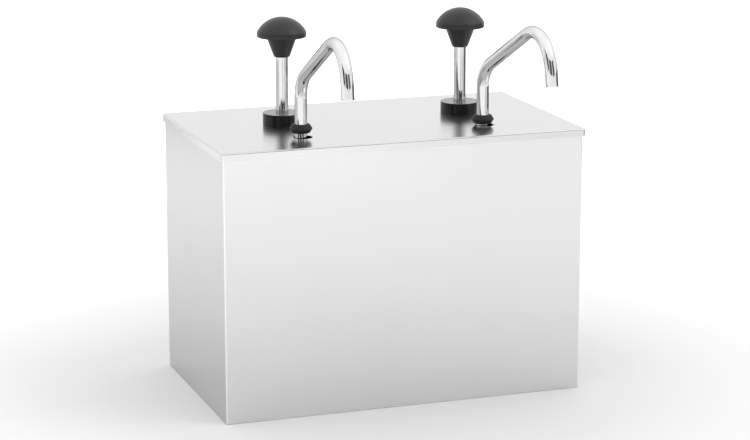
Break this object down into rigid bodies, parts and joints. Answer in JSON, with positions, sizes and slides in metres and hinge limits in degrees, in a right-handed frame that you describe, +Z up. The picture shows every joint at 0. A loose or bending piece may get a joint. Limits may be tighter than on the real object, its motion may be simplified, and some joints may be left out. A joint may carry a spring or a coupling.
{
  "type": "sauce pump dispenser",
  "caption": "Tabletop sauce dispenser: a stainless box with a lift-off lid that carries push-down piston pumps, each with a black mushroom knob and a swivelling bent spout.",
  "frame": {"origin": "middle of the base, on the table", "axes": "+X to the right, +Y to the back, +Z up; the spouts reach out over the front, -Y"},
  "size_m": [0.3648, 0.2935, 0.3692],
  "materials": {
    "satin_steel": "satin",
    "lid_steel": "bright",
    "container_steel": "satin",
    "polished_steel": "polished",
    "black_moulding": "moulded, satin gloss",
    "white_moulding": "moulded",
    "black_rubber": "matt",
    "grey_silicone": "matt"
  },
  "bodies": {
    "housing": {"casing": "satin_steel", "rear_panel": "satin_steel", "base_plate": "satin_steel", "front_rail": "satin_steel", "rear_rail": "satin_steel", "left_container": "container_steel", "right_container": "container_steel"},
    "lid_assembly": {"lid": "lid_steel", "left_lock_collar": "black_moulding", "left_rod_bush": "white_moulding", "left_rod_wiper": "black_rubber", "left_lid_gasket": "grey_silicone", "left_pump_cylinder": "white_moulding", "left_valve_block": "white_moulding", "left_ball_stop_pins": "polished_steel", "left_passage_plug": "black_rubber", "left_spout_seals": "black_rubber", "left_return_spring": "polished_steel", "right_lock_collar": "black_moulding", "right_rod_bush": "white_moulding", "right_rod_wiper": "black_rubber", "right_lid_gasket": "grey_silicone", "right_pump_cylinder": "white_moulding", "right_valve_block": "white_moulding", "right_ball_stop_pins": "polished_steel", "right_passage_plug": "black_rubber", "right_spout_seals": "black_rubber", "right_return_spring": "polished_steel"},
    "left_plunger": {"left_knob": "black_moulding", "left_plunger_rod": "polished_steel", "left_stop_washer": "black_rubber", "left_stop_clip": "polished_steel", "left_piston": "white_moulding", "left_piston_seals": "black_rubber", "left_piston_nut": "polished_steel"},
    "left_spout": {"left_spout_tube": "polished_steel", "left_spout_ring": "black_rubber"},
    "left_inlet_valve": {"left_inlet_ball": "polished_steel"},
    "left_outlet_valve": {"left_outlet_ball": "polished_steel"},
    "right_plunger": {"right_knob": "black_moulding", "right_plunger_rod": "polished_steel", "right_stop_washer": "black_rubber", "right_stop_clip": "polished_steel", "right_piston": "white_moulding", "right_piston_seals": "black_rubber", "right_piston_nut": "polished_steel"},
    "right_spout": {"right_spout_tube": "polished_steel", "right_spout_ring": "black_rubber"},
    "right_inlet_valve": {"right_inlet_ball": "polished_steel"},
    "right_outlet_valve": {"right_outlet_ball": "polished_steel"}
  },
  "joints": [
    {"name": "lid_lift", "type": "slide", "parent": "housing", "child": "lid_assembly", "axis": [0, 0, 1], "range_m": [0, 0.25]},
    {"name": "left_press", "type": "slide", "parent": "lid_assembly", "child": "left_plunger", "axis": [0, 0, -1], "range_m": [0, 0.045], "stiffness_N_per_m": 250, "springref_m": -0.06, "deforming": ["left_return_spring"]},
    {"name": "left_swivel", "type": "hinge", "parent": "lid_assembly", "child": "left_spout", "pos_m": [-0.08947, -0.0559, 0.26], "axis": [0, 0, 1], "range_deg": [-142, 38]},
    {"name": "left_inlet_lift", "type": "slide", "parent": "lid_assembly", "child": "left_inlet_valve", "axis": [0, 0, 1], "range_m": [0, 0.003]},
    {"name": "left_outlet_lift", "type": "slide", "parent": "lid_assembly", "child": "left_outlet_valve", "axis": [0, 0, 1], "range_m": [0, 0.003]},
    {"name": "right_press", "type": "slide", "parent": "lid_assembly", "child": "right_plunger", "axis": [0, 0, -1], "range_m": [0, 0.045], "stiffness_N_per_m": 250, "springref_m": -0.06, "deforming": ["right_return_spring"]},
    {"name": "right_swivel", "type": "hinge", "parent": "lid_assembly", "child": "right_spout", "pos_m": [0.09503, -0.0559, 0.26], "axis": [0, 0, 1], "range_deg": [-48.5, 131.5]},
    {"name": "right_inlet_lift", "type": "slide", "parent": "lid_assembly", "child": "right_inlet_valve", "axis": [0, 0, 1], "range_m": [0, 0.003]},
    {"name": "right_outlet_lift", "type": "slide", "parent": "lid_assembly", "child": "right_outlet_valve", "axis": [0, 0, 1], "range_m": [0, 0.003]}
  ]
}
